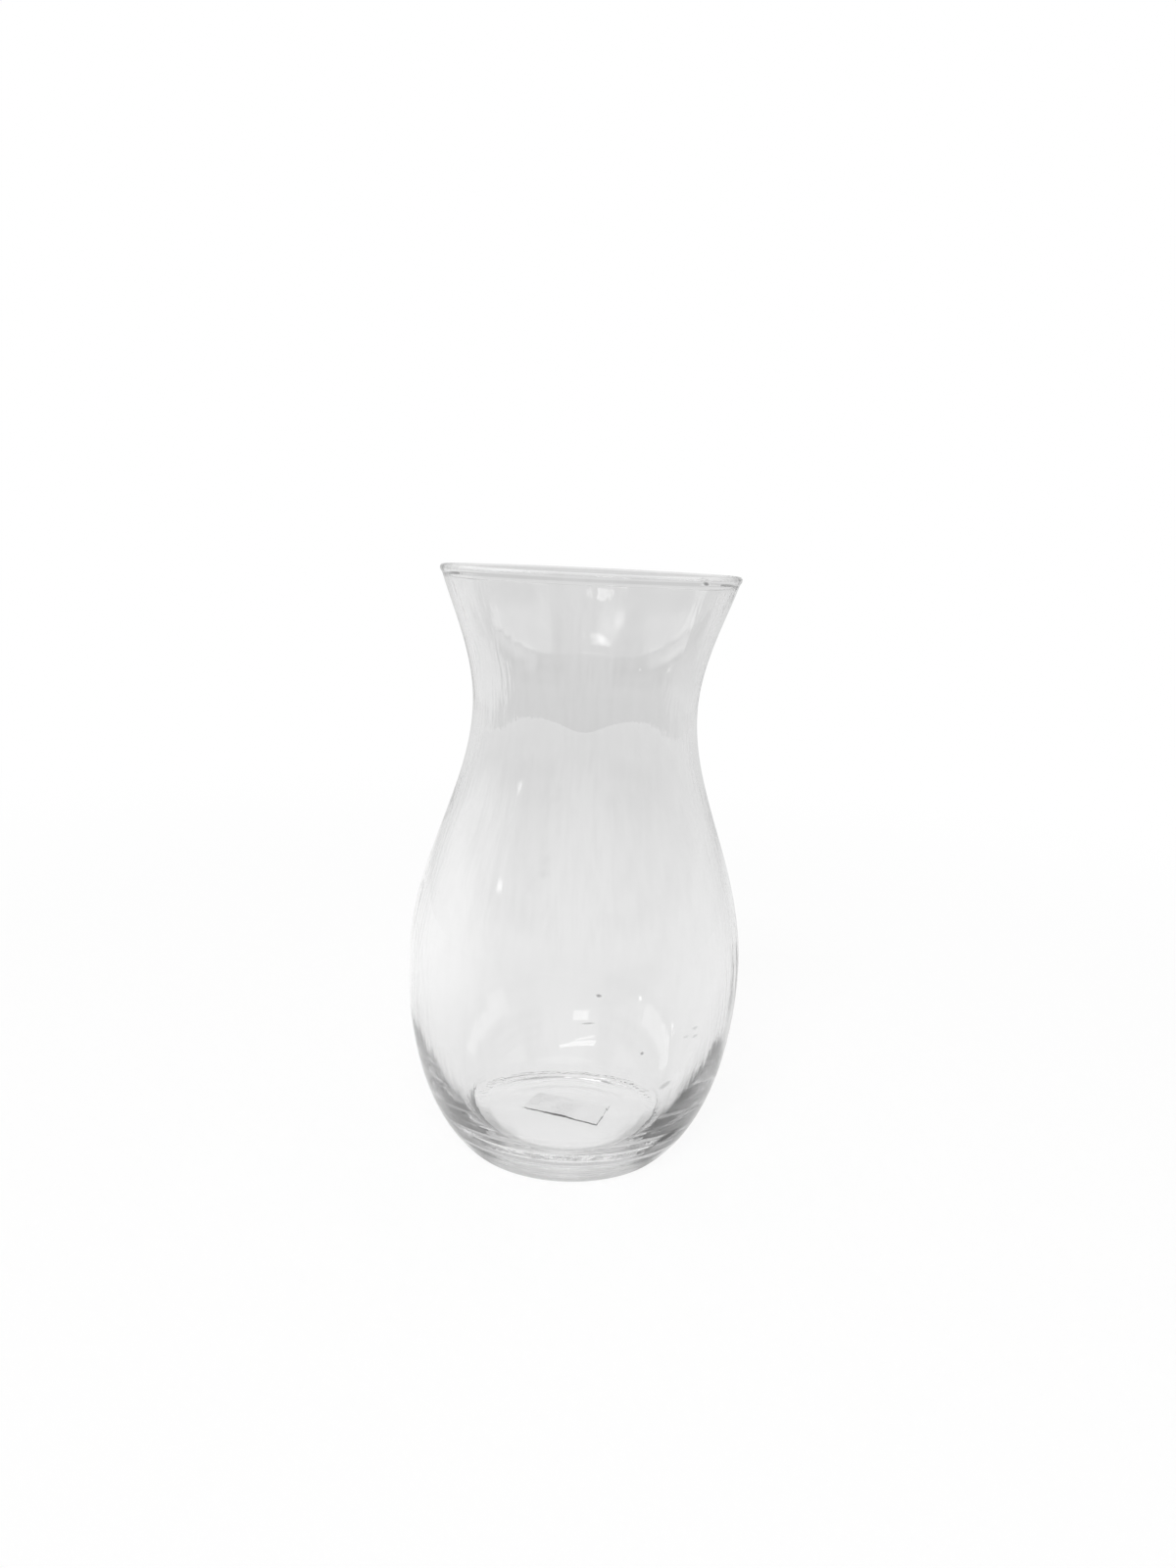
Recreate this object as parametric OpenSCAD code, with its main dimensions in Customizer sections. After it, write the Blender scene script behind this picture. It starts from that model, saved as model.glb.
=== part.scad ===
// Clear glass vase with a round belly, a narrow waist and a flared lip, and the paper
// label under its foot. Sizes are in millimetres. The origin is on the table at the
// middle of the foot, with +Z up. The glass is one turned solid: its outline runs from
// the heel round the belly and the waist to the lip, and the inside follows it at the
// wall's thickness down to a cove, below which the glass thickens to a flat floor.

/* [Outline] */
// Radius of the foot where the belly's curve would meet the table
foot_r = 46; // [42:0.5:50]
// Outer radius at the widest place of the belly
belly_r = 74.5; // [70:0.5:84]
// Outer radius at the narrowest place of the waist
waist_r = 49; // [40:0.5:56]
// Outer radius of the lip, over the bead
lip_r = 64.5; // [58:0.5:72]
// Height from the table to the widest place
bowl_h = 84; // [76:1:96]
// Height from the widest place to the narrowest
shoulder_h = 117; // [96:1:130]
// Height from the narrowest place to the top of the lip
flare_h = 59; // [46:1:70]
// Slope of the belly's curve where it leaves the heel, from the table
heel_angle = 42; // [36:1:50]
// Lean of the wall at the lip, from upright
flare_angle = 13; // [6:1:20]

/* [Curve fullness] */
// How far the belly swells low down, as a share of the bowl's height
bowl_low_share = 0.43; // [0.36:0.01:0.5]
// How long the belly runs upright below its widest place, as a share of the bowl's height
bowl_high_share = 0.08; // [0.04:0.01:0.2]
// How long the belly runs upright above its widest place, as a share of the shoulder's height
shoulder_low_share = 0.41; // [0.3:0.01:0.5]
// How long the waist runs upright below its narrowest place, as a share of the shoulder's height
shoulder_high_share = 0.33; // [0.24:0.01:0.45]
// How long the waist runs upright above its narrowest place, as a share of the flare's height
flare_low_share = 0.39; // [0.3:0.01:0.5]
// How long the wall runs straight below the lip, as a share of the flare's height
flare_high_share = 0.21; // [0.12:0.01:0.3]

/* [Glass] */
// Thickness of the wall from the lip down to the cove
wall_t = 1.8; // [1.4:0.1:2.4]
// Thickness of the fire-polished bead round the lip
bead_d = 2.9; // [2.6:0.1:3.6]
// Radius that rounds the heel into the contact ring
heel_round_r = 4; // [2.5:0.5:6]

/* [Floor] */
// Height of the flat floor inside, above the table
floor_h = 12.5; // [10:0.5:14]
// Radius of the flat middle of the floor
floor_r = 45; // [41:0.5:47]
// Where the cove joins the even wall, as a share of the belly's curve from the heel
cove_share = 0.69; // [0.62:0.01:0.76]
// Length of the cove's curve handle along the floor
cove_floor_reach = 7; // [5:0.5:9]
// Length of the cove's curve handle along the wall
cove_wall_reach = 28; // [22:0.5:32]

/* [Foot] */
// Width of the flat ring that the vase stands on
ring_w = 3.5; // [2:0.5:6]
// Rise of the hollow under the foot, at its middle
punt_h = 2.8; // [2:0.1:4]

/* [Label] */
// Length of the paper label
label_l = 38; // [30:1:42]
// Width of the paper label
label_w = 19; // [14:1:24]
// Thickness of the paper
label_t = 0.1; // [0.08:0.01:0.2]
// Layer of glue between the paper and the glass
glue_t = 0.1; // [0.08:0.01:0.2]
// How far the label's middle lies to the right of the axis
label_x = 0.5; // [-4:0.5:4]
// How far the label's middle lies behind the axis
label_y = -4; // [-6:0.5:4]
// Turn of the label's long side from the X axis
label_turn = -21; // [-40:1:40]

/* [Hidden] */

// Pieces of each curve: heel, bowl, shoulder, flare and cove
HEEL_STEPS = 4;
BOWL_STEPS = 14;
SHOULDER_STEPS = 16;
FLARE_STEPS = 9;
COVE_STEPS = 12;
// Facets round the axis and on the wide sphere of the hollow
$fn = 144;
SPHERE_FN = 360;

total_h = bowl_h + shoulder_h + flare_h;
waist_z = bowl_h + shoulder_h;
bead_r = bead_d / 2;

// The heel is rounded into the table, so the contact ring ends inside foot_r
ring_out_r = foot_r - heel_round_r * tan(heel_angle / 2);
ring_in_r = ring_out_r - ring_w;
heel_end = [ring_out_r + heel_round_r * sin(heel_angle), heel_round_r * (1 - cos(heel_angle))];

// The middle of the lip's bead, and the wall's direction there
bead_at = [lip_r - bead_r, total_h - bead_r];
lip_way = [sin(flare_angle), cos(flare_angle)];

// The sphere that hollows the foot passes through the ring's inner edge
punt_r = (ring_in_r * ring_in_r + punt_h * punt_h) / (2 * punt_h);
punt_z = punt_h - punt_r;

// A point and a direction on a curve with four control points, and the normal on its right
function on_curve(c, t) = pow(1 - t, 3) * c[0] + 3 * pow(1 - t, 2) * t * c[1]
    + 3 * (1 - t) * t * t * c[2] + pow(t, 3) * c[3];
function way(c, t) = let (d = pow(1 - t, 2) * (c[1] - c[0]) + 2 * (1 - t) * t * (c[2] - c[1])
    + t * t * (c[3] - c[2])) d / norm(d);
function out_from(d) = [d[1], -d[0]];
function inside(c, t) = on_curve(c, t) - wall_t * out_from(way(c, t));

// The outer wall's three curves, from the heel up to the bead
bowl_curve = [
    heel_end,
    heel_end + bowl_low_share * bowl_h * [cos(heel_angle), sin(heel_angle)],
    [belly_r, bowl_h - bowl_high_share * bowl_h],
    [belly_r, bowl_h]
];
shoulder_curve = [
    [belly_r, bowl_h],
    [belly_r, bowl_h + shoulder_low_share * shoulder_h],
    [waist_r, waist_z - shoulder_high_share * shoulder_h],
    [waist_r, waist_z]
];
lip_end = bead_at + wall_t / 2 * out_from(lip_way);
flare_curve = [
    [waist_r, waist_z],
    [waist_r, waist_z + flare_low_share * flare_h],
    lip_end - flare_high_share * flare_h * lip_way,
    lip_end
];

// The cove leaves the even wall in its own direction and meets the floor level
cove_top = inside(bowl_curve, cove_share);
cove_curve = [
    cove_top,
    cove_top - cove_wall_reach * way(bowl_curve, cove_share),
    [floor_r + cove_floor_reach, floor_h],
    [floor_r, floor_h]
];

heel_points = [for (i = [0 : HEEL_STEPS - 1]) let (a = heel_angle * i / HEEL_STEPS)
    [ring_out_r + heel_round_r * sin(a), heel_round_r * (1 - cos(a))]];
outer_points = concat(
    [for (i = [0 : BOWL_STEPS - 1]) on_curve(bowl_curve, i / BOWL_STEPS)],
    [for (i = [0 : SHOULDER_STEPS - 1]) on_curve(shoulder_curve, i / SHOULDER_STEPS)],
    [for (i = [0 : FLARE_STEPS]) on_curve(flare_curve, i / FLARE_STEPS)]);
inner_points = concat(
    [for (i = [FLARE_STEPS : -1 : 0]) inside(flare_curve, i / FLARE_STEPS)],
    [for (i = [SHOULDER_STEPS - 1 : -1 : 0]) inside(shoulder_curve, i / SHOULDER_STEPS)],
    [for (i = [BOWL_STEPS - 1 : -1 : 1]) if (i / BOWL_STEPS > cove_share)
        inside(bowl_curve, i / BOWL_STEPS)],
    [for (i = [0 : COVE_STEPS]) on_curve(cove_curve, i / COVE_STEPS)]);

// Half of the section through the glass, with the bead at the lip
module wall_section() {
    polygon(concat([[0, 0]], heel_points, outer_points, inner_points, [[0, floor_h]]));
    translate(bead_at) circle(r = bead_r);
}

// The blown glass, hollowed under the foot
module vessel() {
    color([0.86, 0.88, 0.88, 0.45])
    difference() {
        rotate_extrude() wall_section();
        translate([0, 0, punt_z]) sphere(r = punt_r, $fn = SPHERE_FN);
    }
}

// The label follows the hollow, a layer of glue below the glass
module paper_label() {
    top_r = punt_r - glue_t;
    color([0.93, 0.93, 0.9])
    intersection() {
        difference() {
            translate([0, 0, punt_z]) sphere(r = top_r, $fn = SPHERE_FN);
            translate([0, 0, punt_z]) sphere(r = top_r - label_t, $fn = SPHERE_FN);
        }
        translate([label_x, label_y, 0]) rotate(label_turn)
            translate([-label_l / 2, -label_w / 2, 0]) cube([label_l, label_w, punt_h]);
    }
}

vessel();
paper_label();
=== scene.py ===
import math

import bpy
import numpy as np
from mathutils import Matrix, Vector


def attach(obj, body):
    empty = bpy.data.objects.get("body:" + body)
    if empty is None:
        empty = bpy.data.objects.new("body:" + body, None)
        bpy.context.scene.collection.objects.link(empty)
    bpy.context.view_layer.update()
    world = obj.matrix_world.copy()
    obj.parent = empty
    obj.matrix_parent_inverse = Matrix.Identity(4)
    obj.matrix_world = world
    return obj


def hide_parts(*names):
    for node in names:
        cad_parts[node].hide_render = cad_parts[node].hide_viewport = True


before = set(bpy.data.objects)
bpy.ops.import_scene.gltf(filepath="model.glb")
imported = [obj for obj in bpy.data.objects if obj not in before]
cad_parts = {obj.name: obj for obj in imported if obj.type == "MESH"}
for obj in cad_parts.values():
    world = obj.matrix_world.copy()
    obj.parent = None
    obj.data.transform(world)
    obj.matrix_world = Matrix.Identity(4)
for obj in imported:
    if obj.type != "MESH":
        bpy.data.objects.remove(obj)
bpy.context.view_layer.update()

# Light meets many faces of clear glass before it is spent, and stays sharp on its way out
# from the label and the table under the foot
most_bounces = 160
cycles = bpy.context.scene.cycles
cycles.max_bounces = cycles.transmission_bounces = cycles.glossy_bounces = most_bounces
cycles.blur_glossy = 0

# Camera
# The photograph was taken by hand from a little above the lip and half a metre in front
# of the axis. The camera is tipped down towards the belly and rolled to the right.
camera_at = (0, -0.5329, 0.2691)
tipped_down, rolled, turned = math.radians(10.891), math.radians(2.682), math.radians(0.30)
ahead = np.array([math.sin(turned) * math.cos(tipped_down),
                  math.cos(turned) * math.cos(tipped_down), -math.sin(tipped_down)])
level = np.array([math.cos(turned), -math.sin(turned), 0])
across = math.cos(rolled) * level + math.sin(rolled) * np.cross(level, ahead)
camera_data = bpy.data.cameras.new("photo_camera")
camera_data.lens, camera_data.sensor_width = 28.125, 36
camera_data.clip_start, camera_data.clip_end = 0.01, 60
camera = bpy.data.objects.new("photo_camera", camera_data)
camera.matrix_world = Matrix.Translation(camera_at) @ Matrix(
    np.stack([across, np.cross(across, ahead), -ahead], 1).tolist()).to_4x4()
bpy.context.scene.collection.objects.link(camera)
bpy.context.scene.camera = camera


# Vessel
# One piece of clear soda glass, blown in a turned mould: round belly, narrow waist and
# flared lip. The wall is thin down to the belly and thickens into a flat floor. The lip
# was cut and melted back into a bead, and the foot is hollowed inside its contact ring.
foot_r, belly_r, waist_r, lip_r = 0.046, 0.0745, 0.049, 0.0645
bowl_h, shoulder_h, flare_h = 0.084, 0.117, 0.059
heel_angle, flare_angle = math.radians(42), math.radians(13)
bowl_low_share, bowl_high_share = 0.43, 0.08
shoulder_low_share, shoulder_high_share = 0.41, 0.33
flare_low_share, flare_high_share = 0.39, 0.21
heel_round, wall, bead_r, bead_swell = 0.004, 0.0018, 0.00145, 0.0028
thins_from, thins_over, thinned = 0.240, 0.0165, 0.00015
floor_h, floor_r, cove_share, cove_floor, cove_wall = 0.0125, 0.045, 0.69, 0.007, 0.028
ring_w, punt_h, punt_soft = 0.0035, 0.0028, 0.0022
sides_round = 320
ring_out = foot_r - heel_round * math.tan(heel_angle / 2)
ring_in = ring_out - ring_w
punt_r = (ring_in ** 2 + punt_h ** 2) / (2 * punt_h)
waist_z = bowl_h + shoulder_h
lip_z = waist_z + flare_h


def along(controls, t):
    """Points and directions of a cubic curve: each control weighted by its Bernstein term."""
    c, t = np.array(controls), np.asarray(t)[:, None]
    u = 1 - t
    points = u ** 3 * c[0] + 3 * u * u * t * c[1] + 3 * u * t * t * c[2] + t ** 3 * c[3]
    ways = u * u * (c[1] - c[0]) + 2 * u * t * (c[2] - c[1]) + t * t * (c[3] - c[2])
    return points, ways / np.linalg.norm(ways, axis=1)[:, None]


def outward(ways):
    """The direction turned a quarter turn clockwise, which points out of the wall."""
    return np.stack([ways[:, 1], -ways[:, 0]], 1)


def beaded(side, end, off_wall):
    """A side of the wall moved off it near its end, by half a cosine wave that reaches the
    bead's radius at the end and nothing at bead_swell below it."""
    below = np.linalg.norm(side - end, axis=1)
    swell = (bead_r - wall / 2) * (1 + np.cos(np.pi * below / bead_swell)) / 2
    return side + np.where(below < bead_swell, swell, 0)[:, None] * off_wall


def turned_mesh(name, profile, sides, shape):
    """A closed profile (radius, height) that begins and ends on the axis, carried round it.

    Each point of the grid is (r cos a, r sin a, z) for its profile point and its angle a.
    shape moves the grid's points before the two poles are added."""
    rings = profile[1:-1]
    angle = np.arange(sides) * 2 * np.pi / sides
    r, z = rings[:, 0][:, None], rings[:, 1][:, None]
    grid = shape(np.stack([r * np.cos(angle), r * np.sin(angle), z + 0 * angle], -1), rings, angle)
    poles = [[0, 0, profile[0, 1]], [0, 0, profile[-1, 1]]]
    n, m = len(rings), sides
    i, j = np.meshgrid(np.arange(n - 1), np.arange(m), indexing="ij")
    k = (j + 1) % m
    quads = np.stack([i * m + j, i * m + k, (i + 1) * m + k, (i + 1) * m + j], -1).reshape(-1, 4)
    j = np.arange(m)
    k = (j + 1) % m
    low = np.stack([np.full(m, n * m), k, j], 1)
    high = np.stack([np.full(m, n * m + 1), (n - 1) * m + j, (n - 1) * m + k], 1)
    mesh = bpy.data.meshes.new(name)
    mesh.from_pydata(np.concatenate([grid.reshape(-1, 3), poles]).tolist(), [],
                     quads.tolist() + low.tolist() + high.tolist())
    mesh.polygons.foreach_set("use_smooth", [True] * len(mesh.polygons))
    mesh.update()
    piece = bpy.data.objects.new(name, mesh)
    bpy.context.scene.collection.objects.link(piece)
    return piece


# The outline from the heel to the lip, with the directions along it
heel_turn = np.linspace(0, heel_angle, 12)[:, None]
heel = np.hstack([ring_out + heel_round * np.sin(heel_turn), heel_round * (1 - np.cos(heel_turn))])
heel_way = np.array([math.cos(heel_angle), math.sin(heel_angle)])
bowl = [heel[-1], heel[-1] + bowl_low_share * bowl_h * heel_way,
        [belly_r, bowl_h - bowl_high_share * bowl_h], [belly_r, bowl_h]]
shoulder = [[belly_r, bowl_h], [belly_r, bowl_h + shoulder_low_share * shoulder_h],
            [waist_r, waist_z - shoulder_high_share * shoulder_h], [waist_r, waist_z]]
bead_at = np.array([lip_r - bead_r, lip_z - bead_r])
lip_way = np.array([math.sin(flare_angle), math.cos(flare_angle)])
lip_out = np.array([lip_way[1], -lip_way[0]])
lip_end = bead_at + wall / 2 * lip_out
flare = [[waist_r, waist_z], [waist_r, waist_z + flare_low_share * flare_h],
         lip_end - flare_high_share * flare_h * lip_way, lip_end]
lip_steps = np.concatenate([np.linspace(0, 0.94, 24), np.linspace(0.94, 1, 9)[1:]])
shoulder_side = along(shoulder, np.linspace(0, 1, 41)[:-1])
flare_side = along(flare, lip_steps)
outer, outer_way = [np.concatenate(parts) for parts in zip(
    along(bowl, np.linspace(0, 1, 37)[:-1]), shoulder_side, flare_side)]
# The inside follows it at the wall's thickness, from the lip down to the cove
bowl_side, bowl_way = along(bowl, np.linspace(cove_share, 1, 15))
even, even_way = [np.concatenate(parts) for parts in zip(
    (bowl_side[:-1], bowl_way[:-1]), shoulder_side, flare_side)]
inner = even - wall * outward(even_way)
# Fire polishing has drawn a little glass up into the bead, so the wall thins below it
drawn_up = np.clip((inner[:, 1] - thins_from) / thins_over, 0, 1) ** 2 * thinned
inner = inner + drawn_up[:, None] * outward(even_way)
cove, _ = along([inner[0], inner[0] - cove_wall * even_way[0], [floor_r + cove_floor, floor_h],
                 [floor_r, floor_h]], np.linspace(0, 1, 36))
# The bead swells out of the wall over its last few millimetres
outer = beaded(outer, lip_end, outward(outer_way))
inner = beaded(inner, inner[-1], -outward(even_way))
round_lip = np.linspace(0, np.pi, 16)[1:-1, None]
lip = bead_at + bead_r * (np.cos(round_lip) * lip_out + np.sin(round_lip) * lip_way)
# The hollow runs out into the contact ring along a parabola, so that its edge is soft
punt = np.linspace(0, ring_in - punt_soft, 16)[:, None]
punt = np.hstack([punt, punt_h - punt_r + np.sqrt(punt_r ** 2 - punt ** 2)])
edge_fall = punt[-1, 0] / math.sqrt(punt_r ** 2 - punt[-1, 0] ** 2)
edge_run = 2 * punt[-1, 1] / edge_fall
run_out = np.linspace(0, 1, 9)[1:, None]
punt = np.concatenate([punt, np.hstack([punt[-1, 0] + edge_run * run_out,
                                        punt[-1, 1] * (1 - run_out) ** 2])])
ring = np.linspace(punt[-1, 0], ring_out, 5)[1:-1, None]
ring = np.hstack([ring, np.zeros_like(ring)])
flat = np.linspace(floor_r, 0, 14)[1:, None]
flat = np.hstack([flat, np.full_like(flat, floor_h)])
section = np.concatenate([punt, ring, heel[:-1], outer, lip, inner[::-1][:-1], cove, flat])
first_inside = len(section) - 1 - len(flat) - len(cove) - (len(inner) - 1)

# What the hand leaves: waves in the wall, a burr beside a nick in the bead, and a lean
waist_at, waist_reach, waist_wave, waist_wave_h = 0.200, 0.045, 0.00015, 0.060
wide_wave, wide_wave_h, fine_wave, wave_dies_over = 0.00005, 0.085, 0.000006, 0.02
even_below_lip = 0.004
nick_turn, nick_z, burr_out, burr_half_w, burr_half_h = -45, 0.2583, 0.0007, 0.0016, 0.0009
lean_left, lean_below, lean_over = 0.0008, 0.10, 0.06


def hand_turned(grid, rings, angle):
    """The vessel moved by what blowing and turning leave: sine waves in angle and height on
    the inner wall, broad at the waist and fine upright ones, a burr on the bead that falls off
    as a bell curve, and an eased lean of the whole inside to the left, low down."""
    front = angle + np.pi / 2
    r, z = rings[:, 0][:, None], rings[:, 1][:, None]
    inside = np.arange(len(rings))[:, None] >= first_inside
    at_waist = np.exp(-((z - waist_at) / waist_reach) ** 2)
    wave = (waist_wave * at_waist * np.cos(7 * front + 3.18)
            * np.sin(2 * np.pi * (z - waist_at) / waist_wave_h))
    wave += (wide_wave * (1 - at_waist) * np.sin(4 * front + 40 * z)
             * np.sin(2 * np.pi * z / wide_wave_h + 1))
    wave += fine_wave * (np.sin(31 * front + 3 * np.sin(2 * front)) + np.sin(53 * front + 9 * z))
    wave = np.where(inside & (r > floor_r) & (z < lip_z - even_below_lip), wave, 0)
    wave = wave * np.clip((z - floor_h) / wave_dies_over, 0, 1)
    from_nick = np.angle(np.exp(1j * (angle - math.radians(nick_turn)))) * r
    burr = burr_out * np.exp(-(from_nick / burr_half_w) ** 2 - ((z - nick_z) / burr_half_h) ** 2)
    burr = np.where(r > bead_at[0], burr, 0)
    low = np.clip((lean_below - z) / lean_over, 0, 1)
    moved = grid.copy()
    moved[..., 0] += (wave + burr) * np.cos(angle)
    moved[..., 1] += (wave + burr) * np.sin(angle)
    moved[..., 0] -= np.where(inside, lean_left * low * low * (3 - 2 * low), 0)
    return moved


vase = turned_mesh("vase_glass", section, sides_round, hand_turned)

glass = bpy.data.materials.new("clear_soda_glass")
glass.use_nodes = True
tree = glass.node_tree
surface = tree.nodes["Principled BSDF"]
surface.inputs["Roughness"].default_value = 0.0
surface.inputs["IOR"].default_value = 1.5
surface.inputs["Transmission Weight"].default_value = 1


def add_node(tree, kind, **inputs):
    """A node with some of its inputs set by name or number to a value or linked to a socket."""
    node = tree.nodes.new(kind)
    for key, value in inputs.items():
        socket = node.inputs[int(key[1:])] if key[0] == "i" and key[1:].isdigit() else node.inputs[key]
        if isinstance(value, bpy.types.NodeSocket):
            tree.links.new(value, socket)
        else:
            socket.default_value = value
    return node


def arithmetic(tree, operation, *values, clamp=False):
    """The output of a Math node on these values or sockets."""
    node = add_node(tree, "ShaderNodeMath", **{"i%d" % i: v for i, v in enumerate(values)})
    node.operation, node.use_clamp = operation, clamp
    return node.outputs[0]


def product(tree, first, *others):
    """All of these values or sockets multiplied, in this order."""
    for other in others:
        first = arithmetic(tree, "MULTIPLY", first, other)
    return first


def vectors(tree, operation, *values):
    """A Vector Math node on these vectors or sockets."""
    node = add_node(tree, "ShaderNodeVectorMath", **{"i%d" % i: v for i, v in enumerate(values)})
    node.operation = operation
    return node


def noise(tree, place, scale, detail, roughness=0.5):
    """A noise at this place, of this scale, with finer octaves added."""
    return add_node(tree, "ShaderNodeTexNoise", Vector=place, Scale=scale, Detail=detail,
                    Roughness=roughness).outputs["Fac"]


def from_axis(tree, x, y):
    """The distance from the Z axis, the root of x^2 + y^2."""
    squares = [arithmetic(tree, "POWER", part, 2.0) for part in (x, y)]
    return arithmetic(tree, "SQRT", arithmetic(tree, "ADD", *squares))


def eased(tree, value, low, high, start=0.0, end=1.0):
    """A smooth step from start at low to end at high."""
    node = add_node(tree, "ShaderNodeMapRange", i0=value, i1=low, i2=high, i3=start, i4=end)
    node.interpolation_type = "SMOOTHSTEP"
    return node.outputs[0]


def near(tree, value, middle, full, none):
    """1 as far as full from the middle, and 0 from none on."""
    off = arithmetic(tree, "ABSOLUTE", arithmetic(tree, "SUBTRACT", value, middle))
    return eased(tree, off, full, none, 1.0, 0.0)


def blend(tree, share, first, second):
    """The value that goes from first to second as share goes from 0 to 1."""
    return add_node(tree, "ShaderNodeMix", i0=share, i2=first, i3=second).outputs[0]


def spot(tree, place, middle, half_sizes, lean, soft=0.5):
    """1 inside an ellipsoid at this point, leaning about the Y axis, with a soft edge."""
    mapped = add_node(tree, "ShaderNodeMapping", Vector=place, Location=middle,
                      Rotation=(0, lean, 0), Scale=half_sizes)
    mapped.vector_type = "TEXTURE"
    far = vectors(tree, "LENGTH", mapped.outputs[0]).outputs["Value"]
    return eased(tree, far, 1 - soft, 1 + soft, 1.0, 0.0)


# Specks, a dash, grit, a smudge, a slash, the nick, and a faint painted shade in two soft
# patches on the front wall. Each: its middle, its half sizes, its lean and its darkness
clear, grime_and_painted_shade = (0.988, 0.988, 0.988, 1), (0.002, 0.002, 0.002, 1)
place = tree.nodes.new("ShaderNodeTexCoord").outputs["Object"]
marks = 0.0
for middle, half_sizes, lean, dark in (
        ((0.0106, -0.0732, 0.0957), (0.0011, 0.0012, 0.0006), 0.2, 0.75),
        ((0.0069, -0.0742, 0.0843), (0.0024, 0.0012, 0.00035), -0.06, 0.55),
        ((0.0293, -0.0678, 0.0700), (0.0007, 0.0012, 0.0006), 0.0, 0.7),
        ((0.0515, -0.0536, 0.0761), (0.0013, 0.0020, 0.0007), 0.0, 0.3),
        ((0.0517, -0.0530, 0.0724), (0.0013, 0.0020, 0.0007), 0.0, 0.32),
        ((0.0477, -0.0567, 0.0734), (0.0011, 0.0020, 0.0006), 0.0, 0.22),
        ((0.0402, -0.0593, 0.0530), (0.0028, 0.0030, 0.0010), -0.5, 0.36),
        ((0.0433, -0.0447, 0.0228), (0.0072, 0.0120, 0.0020), -0.25, 1.0),
        ((0.0452, -0.0452, 0.2575), (0.0014, 0.0030, 0.0006), 0.3, 0.85),
        # Two faint patches of painted shade over the front of the belly, just above its widest
        ((0.0180, -0.0700, 0.0985), (0.0210, 0.0120, 0.0080), -0.25, 0.035),
        ((-0.0020, -0.0730, 0.1010), (0.0300, 0.0120, 0.0120), -0.10, 0.018)):
    mark = product(tree, spot(tree, place, middle, half_sizes, lean), dark)
    marks = arithmetic(tree, "MAXIMUM", marks, mark)
# Where upright patterns are drawn: the unit direction from the axis, with the height scaled
# so that a noise there runs long and upright
height_scale = 3.0
x, y, z = add_node(tree, "ShaderNodeSeparateXYZ", Vector=place).outputs
round_it = vectors(tree, "NORMALIZE", vectors(tree, "MULTIPLY", place, (1, 1, 0)).outputs[0])
up_it = add_node(tree, "ShaderNodeCombineXYZ", Z=product(tree, z, height_scale))
drawn_at = vectors(tree, "ADD", round_it.outputs[0], up_it.outputs[0]).outputs[0]
out_from_axis = from_axis(tree, x, y)
# Faint upright cords, where the melt wasn't quite even
cord_scale, cord_tint = 15.0, 0.015
cords = eased(tree, noise(tree, drawn_at, cord_scale, 4.0, 0.7), 0.45, 0.62, 0.0, cord_tint)
cords = product(tree, cords, eased(tree, z, 0.03, 0.07))
marks = arithmetic(tree, "MAXIMUM", marks, cords)
tint = tree.nodes.new("ShaderNodeMix")
tint.data_type = "RGBA"
tree.links.new(marks, tint.inputs[0])
tint.inputs[6].default_value, tint.inputs[7].default_value = clear, grime_and_painted_shade
tree.links.new(tint.outputs[2], surface.inputs["Base Color"])
# Relief, in metres: upright draw lines on the wall, turning rings on the floor, a stipple on
# the contact ring, wrinkles low on the inside of the front wall, where the glass chilled
# first, and fine level ridges round the heel, left by the mould's ring
line_scale, line_depth, turning_scale, turning_depth = 14.0, 0.00008, 260.0, 0.00006
stipple_scale, stipple_depth, ridge_scale, ridge_depth = 420.0, 0.0004, 900.0, 0.00010
wrinkle_scale, wrinkle_depth, wrinkle_z = 230.0, 0.0014, 0.0178
draw_lines = product(tree, noise(tree, drawn_at, line_scale, 3.0),
                     eased(tree, z, 0.02, 0.06, 0.0, line_depth))
rings_at = add_node(tree, "ShaderNodeCombineXYZ", X=product(tree, out_from_axis, turning_scale))
turning = product(tree, noise(tree, rings_at.outputs[0], 1.0, 2.0),
                  eased(tree, z, 0.015, 0.03, turning_depth, 0.0))
stipple = product(tree, noise(tree, place, stipple_scale, 1.0),
                  eased(tree, z, 0.0002, 0.0009, 1.0, 0.0),
                  eased(tree, out_from_axis, 0.0385, 0.0405), stipple_depth)
wrinkles = product(tree, noise(tree, place, wrinkle_scale, 1.0),
                   eased(tree, y, -0.044, -0.038, 1.0, 0.0),
                   near(tree, z, wrinkle_z, 0.0010, 0.0024),
                   eased(tree, out_from_axis, 0.0565, 0.0575, 1.0, 0.0), wrinkle_depth)
ridges_at = add_node(tree, "ShaderNodeCombineXYZ", X=product(tree, z, ridge_scale))
ridges = product(tree, noise(tree, ridges_at.outputs[0], 1.0, 1.0),
                 eased(tree, out_from_axis, 0.0445, 0.046),
                 eased(tree, z, 0.009, 0.014, ridge_depth, 0.0))
height = draw_lines
for more in (turning, stipple, wrinkles, ridges):
    height = arithmetic(tree, "ADD", height, more)
relief = add_node(tree, "ShaderNodeBump", Height=height, Distance=1.0)
tree.links.new(relief.outputs[0], surface.inputs["Normal"])
vase.data.materials.append(glass)
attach(vase, "root")
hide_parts("vessel")


# Paper label
# A blank oblong price label of plain white paper, stuck up into the hollow of the foot.
# It follows the hollow's shallow dome, a film of glue below the glass.
label_l, label_w, label_t, glue_t = 0.038, 0.019, 0.0001, 0.0001
label_at, label_turn, label_steps = (0.0005, -0.004), math.radians(-21), (41, 21)


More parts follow.
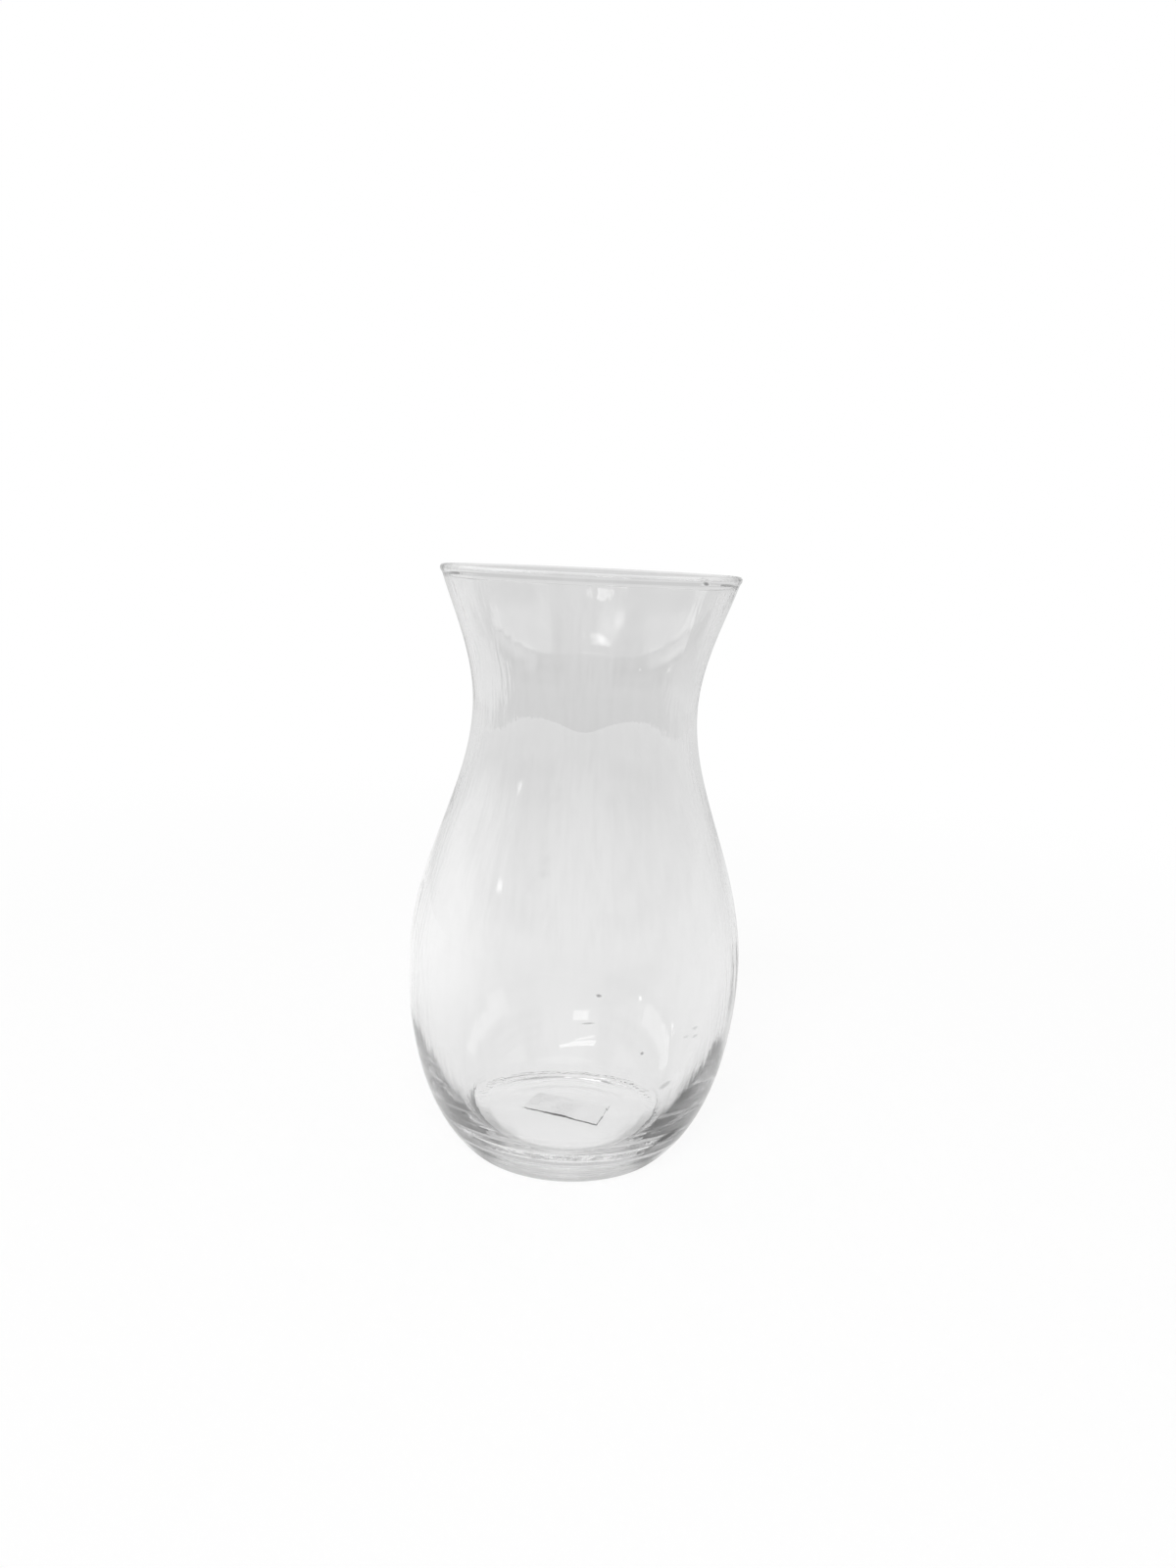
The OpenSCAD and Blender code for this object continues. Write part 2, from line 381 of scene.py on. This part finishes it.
def dome_sheet(name, length, width, thick, top_r, steps):
    """A closed sheet on a sphere: each point's height is the root of r^2 - x^2 - y^2."""
    u, v = np.meshgrid(np.linspace(-0.5, 0.5, steps[0]) * length,
                       np.linspace(-0.5, 0.5, steps[1]) * width, indexing="ij")
    x = label_at[0] + u * math.cos(label_turn) - v * math.sin(label_turn)
    y = label_at[1] + u * math.sin(label_turn) + v * math.cos(label_turn)
    sheets = [np.stack([x, y, punt_h - punt_r + np.sqrt(r * r - x * x - y * y)], -1).reshape(-1, 3)
              for r in (top_r, top_r - thick)]
    n, m = steps
    i, j = np.meshgrid(np.arange(n - 1), np.arange(m - 1), indexing="ij")
    top = np.stack([i * m + j, (i + 1) * m + j, (i + 1) * m + j + 1, i * m + j + 1], -1).reshape(-1, 4)
    rim = np.concatenate([np.arange(n) * m, (n - 1) * m + np.arange(1, m),
                          np.arange(n - 2, -1, -1) * m + m - 1, np.arange(m - 2, 0, -1)])
    after = np.roll(rim, -1)
    sides = np.stack([rim, rim + n * m, after + n * m, after], 1)
    mesh = bpy.data.meshes.new(name)
    mesh.from_pydata(np.concatenate(sheets).tolist(), [],
                     top.tolist() + (top[:, ::-1] + n * m).tolist() + sides.tolist())
    mesh.update()
    piece = bpy.data.objects.new(name, mesh)
    bpy.context.scene.collection.objects.link(piece)
    return piece


label = dome_sheet("paper_price_label", label_l, label_w, label_t, punt_r - glue_t, label_steps)
paper = bpy.data.materials.new("label_paper")
paper.use_nodes = True
tree = paper.node_tree
surface = tree.nodes["Principled BSDF"]
surface.inputs["Roughness"].default_value = 0.85
# Along and across the label, in metres from its middle
place = tree.nodes.new("ShaderNodeTexCoord").outputs["Object"]
on_label = add_node(tree, "ShaderNodeMapping", Vector=place, Location=label_at + (0,),
                    Rotation=(0, 0, label_turn))
on_label.vector_type = "TEXTURE"
along_it, across_it, _ = add_node(tree, "ShaderNodeSeparateXYZ", Vector=on_label.outputs[0]).outputs
# Glue has soaked through in a mottled cloud over one half
soak_scale, cloud_scale, soak_dark = 1100.0, 75.0, 0.21
half = product(tree, eased(tree, along_it, 0.002, 0.008, 1.0, 0.0),
               eased(tree, noise(tree, place, cloud_scale, 1.0), 0.3, 0.5))
soaked = product(tree, half, eased(
    tree, noise(tree, place, soak_scale, 3.0, 0.7), 0.47, 0.56, 0.0, soak_dark))
# A painted shadow lines the two near edges, the long one widest at its middle
painted_shadow_w, painted_shadow_swell, painted_shadow_soft, painted_shadow_grey, short_share = 0.0009, 0.0008, 0.0003, 0.10, 0.7
wider = product(tree, near(tree, along_it, -0.001, 0.0, 0.010), painted_shadow_swell)
from_painted_shadow = arithmetic(tree, "ADD", across_it, label_w / 2 - painted_shadow_w)
from_painted_shadow = arithmetic(tree, "SUBTRACT", from_painted_shadow, wider)
long_edge = eased(tree, from_painted_shadow, -painted_shadow_soft, painted_shadow_soft, 1.0, 0.0)
short_edge = eased(tree, along_it, label_l / 2 - 0.0007, label_l / 2 - 0.0003)
painted_shadow = arithmetic(tree, "MAXIMUM", long_edge, product(tree, short_edge, short_share))
grey = arithmetic(tree, "SUBTRACT", blend(tree, painted_shadow, 1.0, painted_shadow_grey), soaked, clamp=True)
shade = add_node(tree, "ShaderNodeCombineXYZ", X=grey, Y=grey, Z=grey)
tree.links.new(shade.outputs[0], surface.inputs["Base Color"])
label.data.materials.append(paper)
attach(label, "root")
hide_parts("paper_label")


# Floor
# A round white table top, wide enough for the vase's shadow and a hair below the foot, so
# that no two faces coincide. Most of its white is its own glow rather than lamp light. Seen
# through the glass the glow is grey, with painted light and shade from place to place.
floor_r_out, floor_drop, floor_sides = 1.35, 0.00005, 128
own_white, own_white_in_glass = 0.7, 0.94
near_grey, far_grey, left_gain, right_gain, shadow_from = 0.85, 0.72, 0.17, 0.05, 0.88
ring_shade, guided_shade, guided_faces = 0.55, 0.32, 6.5
floor_turn = np.arange(floor_sides) * 2 * np.pi / floor_sides
mesh = bpy.data.meshes.new("floor")
mesh.from_pydata(np.stack([floor_r_out * np.cos(floor_turn), floor_r_out * np.sin(floor_turn),
                           np.full(floor_sides, -floor_drop)], 1).tolist(),
                 [], [list(range(floor_sides))])
floor = bpy.data.objects.new("floor", mesh)
bpy.context.scene.collection.objects.link(floor)


def seen_in_glass(tree, path, kind):
    """1 for a ray that glass has bent or mirrored and nothing else has scattered."""
    unspoilt = arithmetic(tree, "SUBTRACT", 1.0, path.outputs["Diffuse Depth"], clamp=True)
    return product(tree, path.outputs[kind], unspoilt)


def between(tree, value, rising, falling):
    """1 between two limits, each given by where its soft edge begins and ends."""
    return product(tree, eased(tree, value, *rising), eased(tree, value, *falling, 1.0, 0.0))


white = bpy.data.materials.new("white_table")
white.use_nodes = True
tree = white.node_tree
tree.nodes.clear()
path = tree.nodes.new("ShaderNodeLightPath")
place = tree.nodes.new("ShaderNodeTexCoord").outputs["Object"]
x, y, _ = add_node(tree, "ShaderNodeSeparateXYZ", Vector=place).outputs
away = from_axis(tree, x, y)
# The share of its white that is its own glow: all of it, far out
in_glass = arithmetic(tree, "ADD", seen_in_glass(tree, path, "Is Transmission Ray"),
                      seen_in_glass(tree, path, "Is Glossy Ray"), clamp=True)
own = product(tree, path.outputs["Is Camera Ray"], eased(tree, away, 0.3, 1.0, own_white, 1.0))
own = arithmetic(tree, "MULTIPLY_ADD", in_glass, own_white_in_glass, own, clamp=True)
# Through the glass it has painted shade: it darkens with distance, and is paler on both sides
# of a painted long shadow behind the vase, which widens from a point in front
aside = arithmetic(tree, "DIVIDE", x, arithmetic(tree, "ADD", y, shadow_from))
beside = arithmetic(tree, "ADD", eased(tree, aside, -0.10, -0.035, left_gain, 0.0),
                    eased(tree, aside, 0.05, 0.11, 0.0, right_gain))
beside = product(tree, beside, between(tree, y, (0.02, 0.2), (0.7, 1.1)))
pale = arithmetic(tree, "ADD", eased(tree, away, 0.25, 1.1, near_grey, far_grey), beside)
# Painted shade darkens it under the near half of the contact ring, and close round the foot
# for light that has met seven or more faces, and so has run along inside the wall
under_ring = product(tree, between(tree, away, (0.037, 0.040), (0.047, 0.050)),
                     eased(tree, y, -0.025, 0.0, 1.0, 0.0))
pale = blend(tree, under_ring, pale, ring_shade)
guided = arithmetic(tree, "GREATER_THAN", path.outputs["Ray Depth"], guided_faces)
pale = blend(tree, product(tree, guided, eased(tree, away, 0.2, 0.5, 1.0, 0.0)), pale, guided_shade)
shade = blend(tree, path.outputs["Is Camera Ray"], pale, 1.0)
matt = add_node(tree, "ShaderNodeBsdfDiffuse", Color=(1, 1, 1, 1))
glow = add_node(tree, "ShaderNodeEmission", Color=(1, 1, 1, 1), Strength=shade)
both = add_node(tree, "ShaderNodeMixShader", i0=own, i1=matt.outputs[0], i2=glow.outputs[0])
tree.links.new(both.outputs[0], tree.nodes.new("ShaderNodeOutputMaterial").inputs[0])
mesh.materials.append(white)


# Room light
# An even pale room lights what is matt, and the camera sees it white. Bent by the glass it
# shows in soft greys: a pale wall behind, dark sides and a pale ceiling. Mirrored by the
# glass it shows a brighter front with windows.
even_light, level_grey, higher_grey, left_strip, right_strip = 0.84, 0.645, 0.70, 0.79, 0.71
behind_grey, high_grey, top_grey, band_grey = 0.62, 0.48, 0.95, 0.78
left_grey, right_grey, slat_grey, opening_grey, front_grey = 0.13, 0.20, 0.09, 1.0, 0.60
mirrored_level, mirrored_front = 0.70, 1.1
world = bpy.data.worlds.new("pale_room")
world.use_nodes = True
bpy.context.scene.world = world
tree = world.node_tree
tree.nodes.clear()
# The direction: its rise above level, its turn from straight in front and its distance from
# straight behind, all in degrees
way = tree.nodes.new("ShaderNodeTexCoord").outputs["Generated"]
x, y, z = add_node(tree, "ShaderNodeSeparateXYZ", Vector=way).outputs
rise = arithmetic(tree, "DEGREES", arithmetic(tree, "ARCSINE", z))
turn = arithmetic(tree, "DEGREES", arithmetic(tree, "ARCTAN2", x, product(tree, y, -1.0)))
off_behind = arithmetic(tree, "ABSOLUTE", arithmetic(
    tree, "DEGREES", arithmetic(tree, "ARCTAN2", x, y)))
on_right = eased(tree, x, -0.12, 0.12)
# Ray Depth is one more here than the faces that the light has met. With five it has turned
# back once inside, and with seven or more it has run along inside the wall.
path = tree.nodes.new("ShaderNodeLightPath")
once_round = arithmetic(tree, "COMPARE", path.outputs["Ray Depth"], 6.0, 0.5)
guided = arithmetic(tree, "GREATER_THAN", path.outputs["Ray Depth"], guided_faces + 1)
off_the_front = arithmetic(tree, "LESS_THAN", path.outputs["Transmission Depth"], 0.5)
# Straight behind, the wall is a little darker below level, with pale strips on both sides.
# Higher up it is darker, up to the ceiling.
behind = eased(tree, rise, -8.0, -2.0, level_grey, higher_grey)
strips = blend(tree, on_right, left_strip, right_strip)
bent_room = blend(tree, eased(tree, off_behind, 6.5, 7.5), behind, strips)
for low, high, higher in ((9.0, 15.0, behind_grey), (24.0, 32.0, high_grey), (42.0, 56.0, top_grey)):
    bent_room = blend(tree, eased(tree, rise, low, high), bent_room, higher)
# Two pale bands behind, seen small in the thick front of the foot
bands = arithmetic(tree, "ADD", near(tree, rise, 23.3, 1.0, 2.2), near(tree, rise, 31.0, 0.6, 1.4))
bands = product(tree, bands, eased(tree, off_behind, 20.0, 35.0, 1.0, 0.0))
bent_room = blend(tree, bands, bent_room, band_grey)
# The sides are dark, in slats, from a little above level, and from level for guided light
slats = eased(tree, arithmetic(tree, "SINE", product(tree, rise, 0.9)), -0.8, 0.8, -slat_grey, slat_grey)
side = arithmetic(tree, "ADD", blend(tree, on_right, left_grey, right_grey), slats)
above_level = blend(tree, guided, eased(tree, rise, 5.0, 10.0), eased(tree, rise, -1.0, 3.0))
at_side = product(tree, between(tree, off_behind, (24.0, 34.0), (150.0, 160.0)), above_level)
bent_room = blend(tree, at_side, bent_room, side)
# Towards the front they have pale openings, which only guided light meets
opening = product(tree, between(tree, off_behind, (98.0, 106.0), (130.0, 138.0)),
                  between(tree, rise, (17.0, 21.0), (31.0, 35.0)), guided)
bent_room = blend(tree, opening, bent_room, opening_grey)
front = product(tree, eased(tree, off_behind, 150.0, 160.0), eased(tree, rise, 2.0, 7.0))
bent_room = blend(tree, front, bent_room, front_grey)
# What the glass mirrors is brighter upwards and away from straight behind
mirrored_ahead = eased(tree, off_behind, 55.0, 85.0, mirrored_level, mirrored_front)
mirrored_room = blend(tree, eased(tree, rise, 6.0, 22.0), mirrored_level, mirrored_ahead)
front_room = mirrored_level


def panel(turns, rises, soft, tilt, about):
    """1 inside a panel of the room, given by its limits in degrees, with soft edges.

    Its level edges climb by tilt with the turn, or with the distance from the turn about."""
    along_it = turn if about is None else arithmetic(
        tree, "ABSOLUTE", arithmetic(tree, "SUBTRACT", turn, about))
    over = arithmetic(tree, "MULTIPLY_ADD", along_it, -tilt, rise)
    edges = [[(limit - soft, limit + soft) for limit in limits] for limits in (turns, rises)]
    return product(tree, between(tree, turn, *edges[0]), between(tree, over, *edges[1]))


# Windows and pale walls. Each: its limits from straight in front and from level, its edge,
# its tilt, the turn that it folds about, and its grey where the light has turned back once
# and left through the glass, where the back wall mirrors it and where the front mirrors it
for turns, rises, soft, tilt, about, bent, mirrored, off_front in (
        ((42, 109), (10, 45.0), 1.5, -0.2, 0, None, 2.25, None),
        ((56, 74), (9, 21.5), 1.2, 0.0, None, 1.35, None, None),
        ((74, 108), (14.5, 21.5), 1.2, 0.0, None, 1.35, None, None),
        ((-119, -60), (10, 45.0), 1.5, -0.2, 0, None, 2.1, None),
        ((-120, -68), (12.6, 21.5), 1.0, 0.0, None, 1.4, None, None),
        ((-119, -88), (12.4, 15), 0.6, 0.0, None, 2.4, None, None),
        ((-34, -12), (28, 36.5), 5.0, 0.0, None, None, 3.0, None),
        ((-38, -28), (32.5, 35.5), 2.4, 0.0, None, None, 6.0, None),
        ((-24, -7), (39.15, 60), 0.15, -0.03, 0, None, 5.0, None),
        ((-1, 3), (39.1, 60), 0.15, -0.03, 0, None, 3.5, None),
        ((-25, -11), (26.7, 30.1), 0.5, 0.1, None, None, 5.2, None),
        ((3.6, 5.6), (27, 30), 0.3, 0.0, None, None, 4.0, None),
        ((-50, 6), (18.8, 20.2), 0.25, 0.0, None, None, 3.4, None),
        ((-60.5, -57.5), (12.2, 13.6), 0.4, 0.0, None, 8.0, None, None),
        ((-105, -97), (7.7, 8.8), 0.5, 0.0, None, 4.0, None, None),
        ((-17, -3.5), (26.7, 31.7), 0.6, 0.07, None, 4.0, None, None),
        ((-32, 9.5), (47.6, 52.3), 0.4, 0.19, None, 5.0, None, None),
        ((-28.5, -9), (46.2, 48.0), 0.3, 0.28, None, 4.0, None, None),
        ((-62, -58), (13.6, 15.4), 0.8, 0.0, None, None, None, 5.0)):
    mask = panel(turns, rises, soft, tilt, about)
    if bent is not None:
        bent_room = blend(tree, product(tree, mask, once_round), bent_room, bent)
    if mirrored is not None:
        mirrored_room = blend(tree, mask, mirrored_room, mirrored)
    if off_front is not None:
        front_room = blend(tree, mask, front_room, off_front)
mirrored_room = blend(tree, off_the_front, mirrored_room, front_room)
room = blend(tree, seen_in_glass(tree, path, "Is Transmission Ray"), even_light, bent_room)
room = blend(tree, seen_in_glass(tree, path, "Is Reflection Ray"), room, mirrored_room)
room = blend(tree, path.outputs["Is Camera Ray"], room, 1.0)
sky = add_node(tree, "ShaderNodeBackground", Color=(1, 1, 1, 1), Strength=room)
tree.links.new(sky.outputs[0], tree.nodes.new("ShaderNodeOutputWorld").inputs[0])

lamp_distance, lamp_aim = 4.0, (0, 0, 0.15)


def soft_box(name, turns, rises, strength):
    """A lamp that covers these angles, in degrees, seen from the vase's middle, and faces it.

    Its power is strength x pi x area."""
    middle_turn, middle_rise = math.radians(sum(turns) / 2), math.radians(sum(rises) / 2)
    size = [2 * lamp_distance * math.tan(math.radians(b - a) / 2) for a, b in (turns, rises)]
    size[0] *= math.cos(middle_rise)
    toward = Vector((math.sin(middle_turn) * math.cos(middle_rise),
                     -math.cos(middle_turn) * math.cos(middle_rise), math.sin(middle_rise)))
    data = bpy.data.lights.new(name, "AREA")
    data.shape, data.size, data.size_y = "RECTANGLE", size[0], size[1]
    data.energy = strength * math.pi * size[0] * size[1]
    lamp = bpy.data.objects.new(name, data)
    lamp.matrix_world = (Matrix.Translation(Vector(lamp_aim) + lamp_distance * toward)
                         @ toward.to_track_quat("Z", "Y").to_matrix().to_4x4())
    lamp.visible_camera = lamp.visible_glossy = lamp.visible_transmission = False
    bpy.context.scene.collection.objects.link(lamp)


# The lamps light what is matt and cast the shadow, and the glass doesn't show them
soft_box("overhead_soft_box", (-30, 10), (38, 50), 5)
soft_box("front_soft_box", (-21, -7), (25.5, 30.5), 4)

bpy.context.scene.view_settings.view_transform = "Standard"
